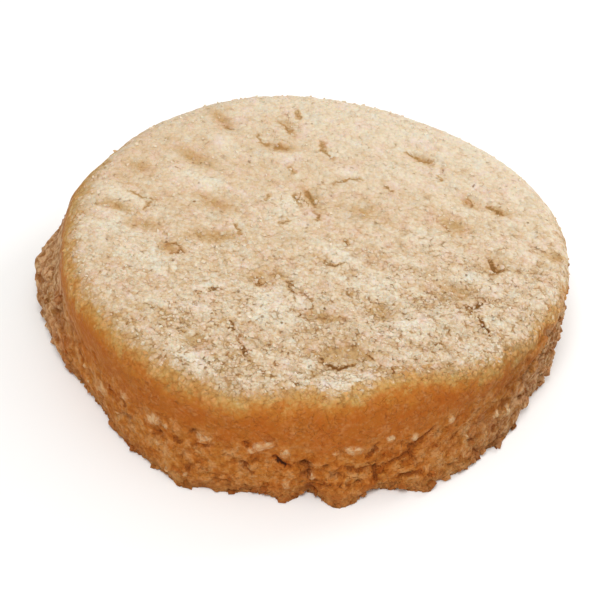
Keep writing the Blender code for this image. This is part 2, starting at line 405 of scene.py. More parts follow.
def fineSkin(shape):
    # one closed skin of even fine faces; under the biscuit only the foot's edge stays fine
    mesh = bpy.data.meshes.new("rough")
    shape.to_mesh(mesh)
    shape.free()
    rough = addObject("rough", mesh)
    remesh = rough.modifiers.new("skin", "REMESH")
    remesh.mode = "VOXEL"
    remesh.voxel_size = dough["voxel"] * mm
    skin = bmesh.new()
    skin.from_mesh(modifiedMesh(rough))
    bpy.data.objects.remove(rough)
    free = [v for v in skin.verts if v.co.z > 0.3 * mm]
    relax(skin, free, 0.5)
    inner = (dough["rim"] - dough["underside"]) * mm
    flat = {v for v in skin.verts if v.co.z < 0.1 * mm and v.co.xy.length < inner}
    hidden = [f for f in skin.faces if flat.issuperset(f.verts)]
    bmesh.ops.delete(skin, geom=hidden, context="FACES")
    hole = [e for e in skin.edges if e.is_boundary]
    filled = bmesh.ops.contextual_create(skin, geom=hole)["faces"]
    bmesh.ops.triangulate(skin, faces=filled)
    bmesh.ops.recalc_face_normals(skin, faces=skin.faces)
    finished = bpy.data.meshes.new("biscuitBody")
    skin.to_mesh(finished)
    skin.free()
    return finished


def byHeading(x, y, pairs):
    headings, values = zip(*pairs)
    return np.interp(np.degrees(np.arctan2(y, x)), headings, values)


def rimRadius(x, y):
    # radius of the rim on the same heading
    share = np.ones(len(x))
    for lobes, swing, heading in dough["rimLobes"]:
        share += swing * np.cos(lobes * (np.arctan2(y, x) - math.radians(heading)))
    return dough["rim"] * share


def downSkin(x, y, z):
    # way along the skin from where the flat top ends, over the shoulder and down the wall
    shoulder = dough["shoulder"]
    out = np.hypot(x, y) - rimRadius(x, y) + shoulder
    up = z - dough["thickness"] + shoulder
    bend = shoulder * (0.5 * math.pi - np.arctan2(np.maximum(up, 0.0), np.maximum(out, 1e-6)))
    return np.where(up < 0.0, 0.5 * math.pi * shoulder - up, np.where(out < 0.0, out, bend))


def ovalShare(x, y, oval):
    # 1 in the middle of an oval patch, fading outwards
    centreX, centreY, length, width, heading = oval
    turn = math.radians(heading)
    u = ((x - centreX) * math.cos(turn) + (y - centreY) * math.sin(turn)) / (0.5 * length)
    v = ((y - centreY) * math.cos(turn) - (x - centreX) * math.sin(turn)) / (0.5 * width)
    return np.exp(-0.9 * (u * u + v * v))


def strongestOval(x, y, ovals):
    share = np.zeros(len(x))
    for oval in ovals:
        share = np.maximum(share, ovalShare(x, y, oval))
    return share


def crackField(u, v, lines):
    # signed distance to the nearest crack, and that crack's strength, which tapers to its ends
    aside = np.full(len(u), noCrack)
    share = np.zeros(len(u))
    for strength, *points in lines:
        line = np.array(points)
        low, high = line.min(axis=0) - 1.5, line.max(axis=0) + 1.5
        near = np.flatnonzero((u > low[0]) & (u < high[0]) & (v > low[1]) & (v < high[1]))
        steps = np.hypot(*np.diff(line, axis=0).T)
        passed = 0.0
        for (au, av), (du, dv), step in zip(line, np.diff(line, axis=0), steps):
            pu, pv = u[near] - au, v[near] - av
            along = np.clip((pu * du + pv * dv) / step ** 2, 0.0, 1.0)
            away = np.hypot(pu - along * du, pv - along * dv)
            signed = away * np.sign(du * pv - dv * pu)
            part = (passed + along * step) / steps.sum()
            closer = away < np.abs(aside[near])
            aside[near[closer]] = signed[closer]
            taper = 0.25 + 0.75 * (ease(0.0, 0.3, part) * ease(1.0, 0.7, part))
            share[near[closer]] = strength * (taper * (part % 1.0 > 0.0))[closer]
            passed += step
    return aside, share


def layer(points, name):
    # smooth noise at each place, -1 to 1
    wavelength, shift = dough["waves"][name]
    away = Vector((shift, 0.0, 0.0))
    return np.array([noise.noise(Vector(point) / wavelength + away) for point in points])


def cells(points, name):
    # for each place: distance to its grain's middle, then to the seam, and the grain's own number
    size, shift = dough["waves"][name]
    away = Vector((shift, 0.0, 0.0))
    near = np.zeros(len(points))
    seam = np.zeros(len(points))
    own = np.zeros(len(points))
    for i, point in enumerate(points):
        distances, middles = noise.voronoi(Vector(point) / size + away)
        near[i] = distances[0]
        seam[i] = distances[1] - distances[0]
        own[i] = noise.cell(middles[0] * 7.3)
    return near, seam, own


def topRelief(x, y):
    # streaks, pale crests, toasted dips, thin plates, grains and cracks; also gives paint masks,
    # the crest mask with a painted paler back
    form = dough["top"]
    c, s = math.cos(dough["grainHeading"]), math.sin(dough["grainHeading"])
    level = np.zeros(len(x))
    streak = np.stack([(x * c + y * s) / form["stretch"], y * c - x * s, level], axis=1)
    flat = np.stack([x, y, level], axis=1)
    coarse = 0.6 + 0.4 * ease(0.0, -16.0, y - 0.45 * x)
    crest = strongestOval(x, y, crests)
    toast = strongestOval(x, y, toasts)
    curl = [form["curl"] * layer(flat, name) for name in ("curlAlong", "curlAcross")]
    curl = np.stack([*curl, level], axis=1)
    rise = form["streak"] * layer(streak, "streak") + form["crest"] * crest
    rise -= form["toast"] * toast
    fold = np.abs(layer(streak + curl, "fold")) - 0.2
    rise += coarse * (form["fold"] * fold + form["grit"] * layer(flat, "grit"))
    _, _, own = cells(flat + curl, "plate")
    rise += form["plate"] * (own - 0.5) * ease(-0.2, 0.3, layer(flat, "platePatch")) * coarse
    aside, share = crackField(x + 1.2 * curl[:, 0], y + 1.2 * curl[:, 1], cracks)
    rise -= form["crack"] * share * np.exp(-((aside / form["crackWidth"]) ** 2))
    # painted light: the back of the top is painted paler, as if lit more, and this goes into the
    # crest mask; the front is painted duller
    paintedBackLight = 1.1 * ease(2.0, 36.0, 0.3 * x + 0.95 * y)  # the back is paler, the front duller
    frontDull = 0.35 * ease(-8.0, -20.0, y) * (crest < 0.2)
    return rise - form["sunk"], np.maximum(crest, paintedBackLight) - frontDull, toast, aside, share


def alongWall(places, degree):
    # headings turned into mm along the wall
    return [(heading * degree, *rest) for heading, *rest in places]


def wallRelief(points, x, y, z):
    # smooth band under the rim, crumbled dough with slits, holes and pale chips below it
    form = dough["wall"]
    highest = byHeading(x, y, looseTop)
    loose = ease(*dough["zones"]["loose"], z - highest + 2.0 * layer(points, "looseEdge"))
    wide = points * np.array(form["squash"])
    bend = np.stack([layer(points, name) for name in ("bendX", "bendY", "bendZ")], axis=1)
    near, seam, own = cells(wide + form["lumpBend"] * bend, "lump")
    fineNear, _, fineOwn = cells(points, "smallLump")
    lumpy = loose * byHeading(x, y, lumpiness)
    rise = form["ripple"] * layer(points, "ripple")
    rise += form["swell"] * layer(points, "swell")
    rise += lumpy * (form["lump"] * (0.30 - near * near) + form["step"] * (own - 0.5))
    rise += form["loose"] * loose
    crease = np.abs(layer(points, "crease"))
    crumb = form["crumb"] * layer(wide, "crumb") + form["crease"] * crease - 0.03
    rise += (0.3 * loose + 0.7 * lumpy) * crumb

    # slits, holes and chips, placed along the wall and up it
    around = np.arctan2(y, x) * dough["rim"]
    degree = math.radians(1.0) * dough["rim"]
    paths = [(strength, *alongWall(path, degree)) for strength, *path in slits]
    bentAround = around + form["slitBend"] * bend[:, 0]
    bentUp = z + form["slitBend"] * bend[:, 1]
    aside, share = crackField(bentAround, bentUp, paths)
    slit = np.exp(-((aside / form["slitWidth"]) ** 2))
    raggedAround = around + form["holeBend"] * layer(points, "raggedAround")
    raggedUp = z + form["holeBend"] * layer(points, "raggedUp")
    hole = strongestOval(raggedAround, raggedUp, alongWall(holes, degree)) ** 1.5
    cleft = (1.0 - ease(0.02, 0.14, seam)) * ease(0.0, 0.3, layer(points, "cleftPatch")) * loose
    bentAround = around + form["chipBend"] * bend[:, 0]
    bentUp = z + form["chipBend"] * bend[:, 1]
    chip = strongestOval(bentAround, bentUp, alongWall(chips, degree))
    chip = ease(0.12, 0.88, chip) * np.minimum(0.3 + 0.8 * byHeading(x, y, lumpiness), 1.0)
    chip = np.maximum(chip, 0.8 * ease(0.90, 0.96, fineOwn) * ease(0.45, 0.3, fineNear) * loose)
    grown = form["chip"] * chip - form["cleft"] * cleft - form["hole"] * hole
    rise += grown - form["slit"] * np.minimum(share, 1.0) * slit
    # painted shade for clefts, holes and low places, none on the chips
    paintedRecessShade = 0.5 * cleft + 1.1 * hole + 0.5 * ease(0.10, 0.45, -rise)
    paintedRecessShade = np.clip(paintedRecessShade, 0.0, 1.0) * (1.0 - chip)
    return rise, loose, chip, paintedRecessShade, aside, share


def setAttribute(mesh, name, values):
    field = mesh.attributes.new(name, "FLOAT", "POINT")
    field.data.foreach_set("value", np.asarray(values, dtype=np.float32))


def reliefSkin(mesh):
    # moves every point along its normal, and notes for the paint what it is part of
    zones = dough["zones"]
    count = len(mesh.vertices)
    place = np.zeros(count * 3)
    mesh.vertices.foreach_get("co", place)
    place = place.reshape(-1, 3) / mm
    normal = np.array([v.vector for v in mesh.vertex_normals])
    x, y, z = place.T
    top = ease(*zones["topFacing"], normal[:, 2]) * ease(*zones["topHeight"], z)
    under = ease(*zones["underFacing"], normal[:, 2]) * ease(*zones["underHeight"], z)
    side = 1.0 - np.maximum(top, under)
    onTop = np.flatnonzero(top > 0.0)
    onSide = np.flatnonzero(side > 0.0)
    marks = {name: np.zeros(count) for name in ("crest", "toast", "loose", "chip", "paintedRecessShade", "crack")}
    marks["aside"] = np.full(count, noCrack)
    rise = np.zeros(count)
    grown, loose, chip, paintedRecessShade, aside, share = wallRelief(
        place[onSide], x[onSide], y[onSide], z[onSide]
    )
    rise[onSide] += side[onSide] * grown
    for name, values in (("chip", chip), ("paintedRecessShade", paintedRecessShade), ("crack", share)):
        marks[name][onSide] = side[onSide] * values
    marks["loose"][onSide] = loose
    marks["loose"][z < 1.0] = 1.0
    marks["aside"][onSide] = aside
    grown, crest, toast, aside, share = topRelief(x[onTop], y[onTop])
    rise[onTop] += top[onTop] * grown
    # the crest mark carries the painted paler back of the top as well as the pale crests
    for name, values in (("crest", crest), ("toast", toast), ("crack", share)):
        marks[name][onTop] = top[onTop] * values
    marks["aside"][onTop] = aside

    # the frost ends in scalloped clumps on the shoulder
    down = downSkin(x, y, z)
    near, _, own = cells(place, "frostClump")
    reach = byHeading(x, y, frostReach) + 0.7 * (own - 0.5) + 0.6 * (0.4 - near)
    reach += 0.2 * layer(place, "frostReach")
    marks["past"] = np.clip(down - reach, -4.0, 14.0)
    marks["bare"] = np.clip((down - reach) / byHeading(x, y, frostFade), -3.0, 3.0)
    marks["coarse"] = ease(*zones["coarse"], y - 0.45 * x)
    marks["calm"] = ease(*zones["calm"], y - 0.2 * x)
    rise += dough["wall"]["frostLip"] * ease(0.15, -0.15, marks["past"]) * ease(-2.0, 0.5, down)

    # greyer crumb up to its own height, and an even brown underneath
    overPale = z - byHeading(x, y, paleTop) + 1.4 * (own - 0.5)
    marks["pale"] = byHeading(x, y, paleCrumb) * ease(*zones["pale"], overPale) * (1.0 - under)
    # painted shade on the wall's right by heading, and real browning underneath
    marks["shadeAndBrowning"] = byHeading(x, y, shadeAndBrowning) * (1.0 - under) + 0.5 * under
    moved = place + normal * rise[:, None]
    moved[:, 2] = np.maximum(moved[:, 2], 0.0)
    mesh.vertices.foreach_set("co", (moved * mm).ravel())
    for name, values in marks.items():
        setAttribute(mesh, name, values)
    mesh.update()


def newMaterial(name, settings):
    material = bpy.data.materials.new(name)
    material.use_nodes = True
    shader = material.node_tree.nodes["Principled BSDF"]
    for socket, value in settings.items():
        shader.inputs[socket].default_value = value
    return material, material.node_tree, shader


def addNode(tree, kind, **settings):
    made = tree.nodes.new(kind)
    for key, value in settings.items():
        if key in made.inputs:
            made.inputs[key].default_value = value
        else:
            setattr(made, key, value)
    return made


def ramp(tree, source, stops):
    made = tree.nodes.new("ShaderNodeValToRGB")
    points = made.color_ramp.elements
    while len(points) < len(stops):
        points.new(0.5)
    for point, (at, colour) in zip(points, stops):
        point.position = at
        point.color = (*colour, 1.0)
    tree.links.new(source, made.inputs[0])
    return made.outputs["Color"]


def mixColour(tree, share, first, second, blend="MIX"):
    made = tree.nodes.new("ShaderNodeMix")
    made.data_type = "RGBA"
    made.blend_type = blend
    for source, at in ((share, 0), (first, 6), (second, 7)):
        socket = made.inputs[at]
        if isinstance(source, bpy.types.NodeSocket):
            tree.links.new(source, socket)
        elif isinstance(source, tuple):
            socket.default_value = (*source, 1.0)
        else:
            socket.default_value = source
    return made.outputs[2]


def maths(tree, operation, *values):
    made = tree.nodes.new("ShaderNodeMath")
    made.operation = operation
    for value, socket in zip(values, made.inputs):
        if isinstance(value, bpy.types.NodeSocket):
            tree.links.new(value, socket)
        else:
            socket.default_value = value
    return made.outputs[0]


def weigh(tree, base, *parts):
    # base plus every value times its weight
    total = base
    for value, weight in parts:
        total = maths(tree, "MULTIPLY_ADD", value, weight, total)
    return total


def mapRange(tree, value, low, high):
    made = addNode(tree, "ShaderNodeMapRange", interpolation_type="SMOOTHSTEP")
    tree.links.new(value, made.inputs["Value"])
    made.inputs["From Min"].default_value = low
    made.inputs["From Max"].default_value = high
    return made.outputs["Result"]


def attribute(tree, name):
    return addNode(tree, "ShaderNodeAttribute", attribute_name=name).outputs["Fac"]


def noiseField(tree, coords, size, detail=2.0, roughness=0.5):
    made = addNode(
        tree, "ShaderNodeTexNoise", Scale=1.0 / (size * mm), Detail=detail, Roughness=roughness
    )
    tree.links.new(coords, made.inputs["Vector"])
    return made.outputs["Fac"]


def curled(tree, coords, amount, size):
    # coordinates pushed about by noise, so that cells lose their straight sides
    bend = addNode(tree, "ShaderNodeTexNoise", Scale=1.0 / (size * mm), Detail=1.0)
    tree.links.new(coords, bend.inputs["Vector"])
    away = addNode(tree, "ShaderNodeVectorMath", operation="SUBTRACT")
    tree.links.new(bend.outputs["Color"], away.inputs[0])
    away.inputs[1].default_value = (0.5, 0.5, 0.5)
    moved = addNode(tree, "ShaderNodeVectorMath", operation="MULTIPLY_ADD")
    tree.links.new(away.outputs[0], moved.inputs[0])
    moved.inputs[1].default_value = (amount * mm,) * 3
    tree.links.new(coords, moved.inputs[2])
    return moved.outputs[0]


def veins(tree, coords, size):
    # 0 along thin winding lines
    field = noiseField(tree, coords, size, 1.0)
    return maths(tree, "ABSOLUTE", maths(tree, "SUBTRACT", field, 0.5))


def cellField(tree, coords, size):
    made = addNode(tree, "ShaderNodeTexVoronoi", Scale=1.0 / (size * mm))
    tree.links.new(coords, made.inputs["Vector"])
    return made.outputs


def threeNumbers(tree, colour):
    made = addNode(tree, "ShaderNodeSeparateColor")
    tree.links.new(colour, made.inputs[0])
    return made.outputs


# how the dough is painted: colours, linear, then its patterns and its shine
bake = {
    "cream": (0.728, 0.690, 0.605),
    "biscuit": (0.69, 0.595, 0.476),
    "tan": (0.602, 0.448, 0.306),
    "toast": (0.487, 0.307, 0.146),
    "rosy": (1.0, 0.930, 0.935),  # the tints multiply the others
    "buttery": (1.0, 0.975, 0.890),
    "greenish": (0.958, 1.0, 0.990),
    # between darkens by multiplying: painted shade between the grains and in the wall's creases,
    # and a darker tone for some loose crumbs
    "between": (0.66, 0.52, 0.38),
    # grainEdge: painted shade in the thin winding hairlines of the top
    "grainEdge": (0.36, 0.20, 0.085),
    # honey and glow: the golden crust under the frost, partly painted glow of light through it
    "honey": (0.57, 0.36, 0.150),
    "glow": (0.505, 0.280, 0.083),
    "amber": (0.437, 0.156, 0.023),
    "deepAmber": (0.380, 0.110, 0.013),
    "shadeAndBrowningTint": (0.74, 0.80, 0.90),
    "ruddy": (1.0, 0.90, 0.85),
    "golden": (0.98, 1.015, 1.0),
    "speck": (0.66, 0.33, 0.12),
    "brown": (0.33, 0.095, 0.010),
    "crumb": (0.44, 0.155, 0.026),
    "lump": (0.53, 0.25, 0.090),
    "foot": (0.34, 0.150, 0.045),
    "paleDip": (0.27, 0.125, 0.040),
    "paleCrumb": (0.56, 0.37, 0.21),
    # seam: painted shade round each crack, multiplied on
    "seam": (0.74, 0.54, 0.31),
    # goldenDip, umber, dark and black: painted shade in cracks, slits, holes and clefts; pore:
    # painted shade in pores and pits
    "goldenDip": (0.38, 0.222, 0.076),
    "umber": (0.175, 0.068, 0.014),
    "dark": (0.23, 0.062, 0.012),
    "black": (0.045, 0.012, 0.005),
    "pore": (0.24, 0.125, 0.045),
    # chip: pale chips of dough, partly a painted highlight on the lumps
    "chip": (0.68, 0.515, 0.305),
    # sizes of the paint's patterns in mm
    "patterns": {
        "streak": 1.7,
        "stretch": 1.8,  # streaks are this many times longer than wide
        "middle": 1.1,
        "fine": 0.34,
        "tint": 2.4,
        "grain": 0.55,
        "vein": 0.9,
        "dot": 1.15,
        "curl": 0.7,
        "curlReach": 0.55,
        "shake": 0.6,  # of the cracks' sides
    },
    "shine": {
        "Specular IOR Level": 0.06,
        "Subsurface Weight": 0.25,
        "Subsurface Scale": 0.6 * mm,
        "Subsurface Radius": (1.0, 0.55, 0.25),
    },
}


def bakedDough():
    material, tree, shader = newMaterial("bakedDough", bake["shine"])
    sizes = bake["patterns"]
    mark = partial(attribute, tree)
    mix = partial(mixColour, tree)
    times = partial(maths, tree, "MULTIPLY")
    total = partial(weigh, tree)
    span = partial(mapRange, tree)
    coords = addNode(tree, "ShaderNodeTexCoord").outputs["Object"]
    split = addNode(tree, "ShaderNodeSeparateXYZ")
    tree.links.new(coords, split.inputs[0])
    height = times(split.outputs["Z"], 1.0 / mm)
    along = addNode(tree, "ShaderNodeMapping", vector_type="TEXTURE")
    along.inputs["Rotation"].default_value = (0.0, 0.0, dough["grainHeading"])
    along.inputs["Scale"].default_value = (sizes["stretch"], 1.0, 1.0)
    tree.links.new(coords, along.inputs["Vector"])

    streak = noiseField(tree, along.outputs[0], sizes["streak"], 4.0, 0.62)
    middle = noiseField(tree, coords, sizes["middle"], 3.0, 0.60)
    fine = noiseField(tree, coords, sizes["fine"], 1.0, 0.5)
    tint = noiseField(tree, coords, sizes["tint"], 4.0, 0.65)
    curly = curled(tree, coords, sizes["curlReach"], sizes["curl"])
    grains = cellField(tree, curly, sizes["grain"])
    grain = threeNumbers(tree, grains["Color"])
    crease = span(grains["Distance"], 0.42, 0.90)
    gap = times(span(grains["Distance"], 0.60, 0.85), span(middle, 0.46, 0.58))
    coarse = mark("coarse")

    # pale top: cream crests and the painted paler back, toasted dips, every grain its own tone,
    # painted shade between the grains
    lively = total(1.08, (mark("calm"), -0.62))
    texture = total(
        -1.455, (streak, 0.90), (middle, 0.85), (fine, 0.60), (grain[0], 0.26), (tint, 0.30),
    )
    tone = total(
        0.555, (times(texture, lively), 1.0), (mark("toast"), 0.42),
        (mark("calm"), 0.06), (mark("crest"), -0.27), (span(mark("bare"), -1.3, 0.4), 0.34),
    )
    topColour = ramp(tree, tone, (
        (0.0, bake["cream"]), (0.36, bake["biscuit"]), (0.66, bake["tan"]), (1.0, bake["toast"]),
    ))
    hue = ramp(tree, tint, (
        (0.34, bake["rosy"]), (0.50, bake["buttery"]), (0.64, bake["greenish"]),
    ))
    topColour = mix(1.0, topColour, hue, "MULTIPLY")
    # painted shade in the gaps and creases between the grains
    between = times(gap, total(0.36, (coarse, 0.50)))
    between = times(total(between, (crease, 0.32)), lively)
    topColour = mix(between, topColour, bake["between"], "MULTIPLY")
    # painted shade in the pits between some grains
    pit = times(gap, span(total(0.0, (grain[2], 1.0), (coarse, 0.2)), 0.78, 1.05))
    topColour = mix(times(pit, 0.7), topColour, bake["pore"])
    # painted shade along thin winding hairlines
    vein = span(veins(tree, curly, sizes["vein"]), 0.05, 0.0)
    vein = times(vein, span(total(0.0, (streak, 1.0), (coarse, 0.13)), 0.60, 0.68))
    topColour = mix(times(vein, total(0.7, (mark("calm"), -0.4))), topColour, bake["grainEdge"])
    # painted shade in scattered pores
    dots = cellField(tree, curly, sizes["dot"])
    luck = threeNumbers(tree, dots["Color"])
    chosen = total(
        0.0, (luck[0], 1.0), (coarse, 0.22), (mark("toast"), 0.25), (mark("calm"), -0.12),
    )
    pore = times(span(dots["Distance"], 0.24, 0.06), span(chosen, 0.72, 0.92))
    topColour = mix(times(pore, total(0.5, (luck[1], 0.5))), topColour, bake["pore"])

    # wall: honey glow under the frost, partly painted glow of light through the thin crust, amber
    # band, mottled crumb down to the foot
    rung = total(-0.17, (mark("past"), 1.0 / 12.0), (middle, 0.20), (fine, 0.14))
    bandColour = ramp(tree, rung, (
        (0.02, bake["honey"]), (0.12, bake["glow"]),
        (0.225, bake["amber"]), (0.34, bake["deepAmber"]),
    ))
    mottle = total(-0.93, (middle, 1.1), (tint, 1.1), (fine, 0.30), (streak, 0.4))
    crumbColour = ramp(tree, mottle, (
        (0.25, bake["brown"]), (0.52, bake["crumb"]), (0.85, bake["lump"]),
    ))
    footShare = span(total(-1.0, (height, 1.0), (middle, 2.0)), 2.6, 0.6)
    crumbColour = mix(times(footShare, 0.6), crumbColour, bake["foot"])
    paleTone = total(-0.61, (middle, 1.3), (fine, 0.5), (grain[1], 0.4))
    paleTone = ramp(tree, paleTone, ((0.30, bake["paleDip"]), (0.70, bake["paleCrumb"])))
    wallColour = mix(mark("loose"), bandColour, crumbColour)
    # painted shade and browning: the wall darker and browner by heading, and underneath
    wallColour = mix(mark("shadeAndBrowning"), wallColour, bake["shadeAndBrowningTint"], "MULTIPLY")
    wallColour = mix(mark("pale"), wallColour, paleTone)
    wallHue = ramp(tree, tint, ((0.36, bake["ruddy"]), (0.64, bake["golden"])))
    wallColour = mix(1.0, wallColour, wallHue, "MULTIPLY")
    smooth = span(mark("bare"), 1.0, 3.0)
    smooth = times(smooth, total(1.0, (mark("loose"), -1.0)))
    speck = times(span(grains["Distance"], 0.65, 0.20), span(grain[1], 0.45, 0.85))
    glowing = span(mark("past"), 3.2, 0.6)
    wallColour = mix(times(speck, total(0.12, (glowing, 0.60))), wallColour, bake["speck"])
    # pale chips, partly pale dough and partly a painted highlight on the wall's lumps
    ragged = span(total(-1.35, (mark("chip"), 1.0), (middle, 1.7), (fine, 1.1)), -0.35, 0.85)
    ragged = times(ragged, span(mark("chip"), 0.0, 0.75))
    chipColour = total(-0.45, (middle, 1.0), (grain[0], 0.5), (fine, 0.4))
    chipColour = ramp(tree, chipColour, ((0.30, bake["lump"]), (0.70, bake["chip"])))
    wallColour = mix(times(ragged, 0.66), wallColour, chipColour)
    flecks = span(total(-1.25, (middle, 1.2), (fine, 0.9), (streak, 0.6)), 0.05, 0.55)
    flecks = times(flecks, total(0.27, (glowing, -0.2), (coarse, 0.12)))
    wallColour = mix(flecks, wallColour, bake["lump"])
    # painted shade in the creases between the crumb's lumps
    between = times(crease, total(0.26, (smooth, -0.18), (glowing, 0.36)))
    wallColour = mix(between, wallColour, bake["between"], "MULTIPLY")

    # the frost thins out between the grains first
    thin = total(
        -1.75, (mark("bare"), 1.0), (grains["Distance"], 1.0), (grain[2], 1.0),
        (fine, 0.8), (middle, 0.6),
    )
    bareShare = span(thin, -0.42, 0.42)
    colour = mix(bareShare, topColour, wallColour)

    # cracks and holes, their dark cores painted shade inside the gaps
    crackShare = mark("crack")
    sway = times(span(crackShare, 1.9, 1.2), 1.2)
    shaky = maths(tree, "ADD", noiseField(tree, coords, sizes["shake"], 1.0), -0.5)
    shaky = maths(tree, "ABSOLUTE", total(mark("aside"), (shaky, sway)))
    uneven = total(-0.44, (fine, 1.2), (mark("calm"), -0.04))
    width = times(maths(tree, "MINIMUM", crackShare, 1.3), uneven)
    widest = times(span(crackShare, 1.0, 2.0), total(0.44, (bareShare, -0.25)))
    width = maths(tree, "MAXIMUM", width, widest)
    width = maths(tree, "MAXIMUM", width, 0.005)
    line = maths(tree, "DIVIDE", shaky, width)
    shown = span(crackShare, 0.05, 0.45)
    crack = times(span(line, 1.3, 0.3), shown)
    halo = times(span(shaky, 0.55, 0.10), shown)
    # painted shade: darker tan round each crack
    colour = mix(times(halo, 0.8), colour, bake["seam"], "MULTIPLY")
    # painted shade in the cracks' dark cores, darkest in the strongest slits
    topCrack = mix(mark("calm"), bake["umber"], bake["goldenDip"])
    crackColour = mix(bareShare, topCrack, bake["dark"])
    crackColour = mix(span(times(crackShare, bareShare), 1.3, 1.7), crackColour, bake["black"])
    strength = total(0.50, (span(crackShare, 0.3, 1.4), 0.50))
    colour = mix(times(crack, strength), colour, crackColour)
    # painted shade in clefts, holes and low places of the wall
    paintedRecessShade = mark("paintedRecessShade")
    colour = mix(times(paintedRecessShade, 0.8), colour, bake["dark"])
    lift = span(mark("lift"), 1.0, -1.0)
    colour = mix(times(lift, mark("crumbPiece")), colour, bake["between"], "MULTIPLY")
    tree.links.new(colour, shader.inputs["Base Color"])

    rough = total(0.55, (fine, 0.3))
    tree.links.new(rough, shader.inputs["Roughness"])

    # fine relief, heights in mm
    bumps = total(
        0.0, (fine, 0.10), (middle, 0.28), (vein, -0.08), (crack, -0.12), (pore, -0.15),
        (pit, -0.10), (times(grains["Distance"], total(1.0, (smooth, -0.85))), -0.20),
    )
    bump = addNode(tree, "ShaderNodeBump", Distance=mm)
    tree.links.new(bumps, bump.inputs["Height"])
    bumpShare = total(1.0, (mark("crumbPiece"), -0.7), (mark("calm"), -0.25))
    tree.links.new(bumpShare, bump.inputs["Strength"])
    tree.links.new(bump.outputs["Normal"], shader.inputs["Normal"])
    return material


def makeBody(material):
    shape = smoothCopy()
    addLumps(shape)
    mesh = fineSkin(shape)
    reliefSkin(mesh)
    mesh.materials.append(material)
    mesh.shade_smooth()
    return addObject("biscuitBody", mesh)


doughMaterial = bakedDough()
body = makeBody(doughMaterial)
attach(body, "root")
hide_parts("biscuit")
body.data.calc_loop_triangles()
print("body done:", len(body.data.loop_triangles), "triangles")


# marks that the grains take over from the skin under them
carried = ("past", "bare", "coarse", "loose", "pale", "shadeAndBrowning", "toast", "crest", "calm", "chip")


def skinOf(mesh):
    # corners, middles, areas and marks of the body's triangles
    mesh.calc_loop_triangles()
    corners = np.zeros(len(mesh.loop_triangles) * 3, dtype=np.int64)
    mesh.loop_triangles.foreach_get("vertices", corners)
    corners = corners.reshape(-1, 3)
    place = np.zeros(len(mesh.vertices) * 3)
    mesh.vertices.foreach_get("co", place)
    place = place.reshape(-1, 3) / mm
    marks = {}
    for name in carried:
        values = np.zeros(len(mesh.vertices), dtype=np.float32)
        mesh.attributes[name].data.foreach_get("value", values)
        marks[name] = values[corners[:, 0]]
    a, b, c = place[corners[:, 0]], place[corners[:, 1]], place[corners[:, 2]]
    normal = np.cross(b - a, c - a)
    area = np.linalg.norm(normal, axis=1)
    return {
        "a": a, "b": b, "c": c, "middle": (a + b + c) / 3.0, "area": area,
        "normal": normal / np.maximum(area, 1e-12)[:, None], "marks": marks,
    }


def grainShapes(settings, random):
    # a few chipped grains of unit size
    shapes = []
    jitter = settings["jitter"]
    for _ in range(settings["shapes"]):
        shape = bmesh.new()
        if settings["kind"] == "crystal":
            bmesh.ops.create_cube(shape, size=1.0)
        else:
            bmesh.ops.create_icosphere(shape, subdivisions=1, radius=0.5)
        points = np.array([v.co for v in shape.verts])
        points += random.uniform(-jitter, jitter, points.shape)
        faces = np.array([[v.index for v in f.verts] for f in shape.faces])
        shape.free()
        shapes.append((points, faces))
    return shapes


def scatterGrains(name, skin, spread, settings, material):
    # grains strewn on the skin where spread is high, joined in one mesh
    random = np.random.default_rng(settings["seed"])
    chance = spread * skin["area"]
    picked = random.choice(len(chance), settings["count"], p=chance / chance.sum())
    u, v = random.uniform(size=(2, len(picked), 1))
    over = u + v > 1.0
    u, v = np.where(over, 1.0 - u, u), np.where(over, 1.0 - v, v)
    place = skin["a"][picked] * (1.0 - u - v) + skin["b"][picked] * u + skin["c"][picked] * v
    smallest, largest = settings["size"]
    share = random.uniform(size=len(picked)) ** settings["thinning"]
    size = smallest + (largest - smallest) * share
    stand = size * random.uniform(*settings["stand"], len(picked))
    place += skin["normal"][picked] * stand[:, None]
    turn, _ = np.linalg.qr(random.normal(size=(len(picked), 3, 3)))
    turn[:, :, 0] *= np.sign(np.linalg.det(turn))[:, None]
    stretch = size[:, None] * random.uniform(*settings["stretch"], (len(picked), 3))
    shapes = grainShapes(settings, random)
    which = random.integers(0, len(shapes), len(picked))
    lift = random.uniform(-1.0, 1.0, len(picked))
    points, faces, start = [], [], 0
    marks = {key: [] for key in (*skin["marks"], "lift")}
    for number, (shapePoints, shapeFaces) in enumerate(shapes):
        chosen = np.flatnonzero(which == number)
        local = shapePoints[None] * stretch[chosen][:, None]
        moved = np.einsum("nij,nkj->nki", turn[chosen], local) + place[chosen][:, None]
        points.append(moved.reshape(-1, 3))
        offsets = start + np.arange(len(chosen))[:, None, None] * len(shapePoints)
        faces.extend((shapeFaces[None] + offsets).reshape(-1, shapeFaces.shape[1]).tolist())
        start += len(chosen) * len(shapePoints)
        for key, values in skin["marks"].items():
            marks[key].append(np.repeat(values[picked][chosen], len(shapePoints)))
        marks["lift"].append(np.repeat(lift[chosen], len(shapePoints)))
    joined = np.concatenate(points)
    joined[:, 2] = np.maximum(joined[:, 2], 0.0)
    mesh = bpy.data.meshes.new(name)
    mesh.from_pydata((joined * mm).tolist(), [], faces)
    for key, values in marks.items():
        setAttribute(mesh, key, np.concatenate(values))
    setAttribute(mesh, "aside", np.full(len(joined), noCrack))
    setAttribute(mesh, "crumbPiece", np.ones(len(joined)))
    mesh.materials.append(material)
    grains = addObject(name, mesh)
    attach(grains, "root")
    mesh.calc_loop_triangles()
    print(name, "done:", len(mesh.loop_triangles), "triangles")


